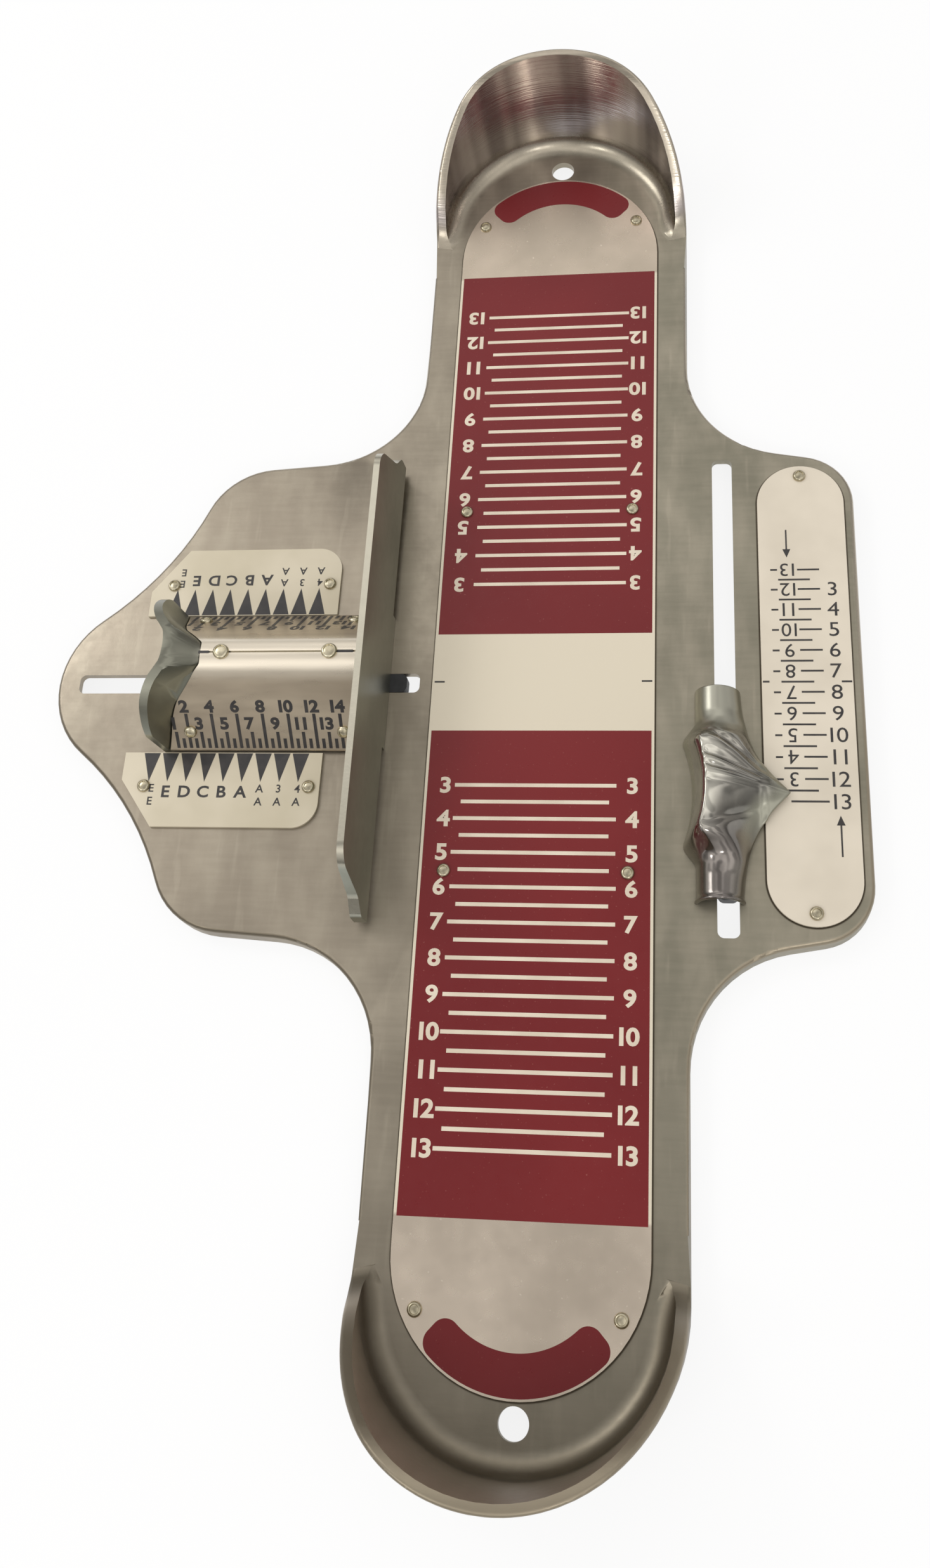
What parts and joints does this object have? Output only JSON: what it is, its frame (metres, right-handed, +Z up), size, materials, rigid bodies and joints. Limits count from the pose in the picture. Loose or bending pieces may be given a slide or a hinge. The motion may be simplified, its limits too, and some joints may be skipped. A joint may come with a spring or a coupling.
{
  "type": "foot measuring device",
  "caption": "Flat cast foot-measuring tray with two heel cups, printed scales, a sliding width bar and a sliding arch pointer.",
  "frame": {"origin": "middle of the size plate, on its printed face", "axes": "+X towards the arch scale, +Y along the foot towards one heel cup, +Z up out of the printed face"},
  "size_m": [0.2075, 0.356, 0.0408],
  "materials": {
    "tray_casting": "tumbled, satin",
    "size_print": "printed, satin",
    "scale_print": "printed, satin",
    "bar_casting": "cast, satin",
    "table_print": "printed, brushed",
    "pointer_casting": "polished",
    "rivet_metal": "rolled",
    "brass_rivet": "polished",
    "guide_plastic": "moulded",
    "plated_steel": "zinc plated"
  },
  "bodies": {
    "tray": {"base_plate": "tray_casting", "size_plate": "size_print", "size_plate_rivets": "rivet_metal", "width_plate_left": "scale_print", "width_plate_right": "scale_print", "width_plate_rivets": "rivet_metal", "arch_plate": "scale_print", "arch_plate_rivets": "rivet_metal"},
    "width_slide": {"width_bar": "bar_casting", "width_table_left": "table_print", "width_table_right": "table_print", "ridge_rivets": "brass_rivet", "table_rivets": "brass_rivet", "width_guide_block": "guide_plastic", "width_friction_spring": "plated_steel", "width_retainer_plate": "plated_steel", "width_screws": "plated_steel"},
    "arch_slide": {"arch_pointer": "pointer_casting", "arch_guide_block": "guide_plastic", "arch_friction_spring": "plated_steel", "arch_retainer_plate": "plated_steel", "arch_screws": "plated_steel"}
  },
  "joints": [
    {"name": "width_travel", "type": "slide", "parent": "tray", "child": "width_slide", "axis": [1, 0, 0], "range_m": [-0.036, 0.0028]},
    {"name": "arch_travel", "type": "slide", "parent": "tray", "child": "arch_slide", "axis": [0, 1, 0], "range_m": [-0.008, 0.067]}
  ]
}
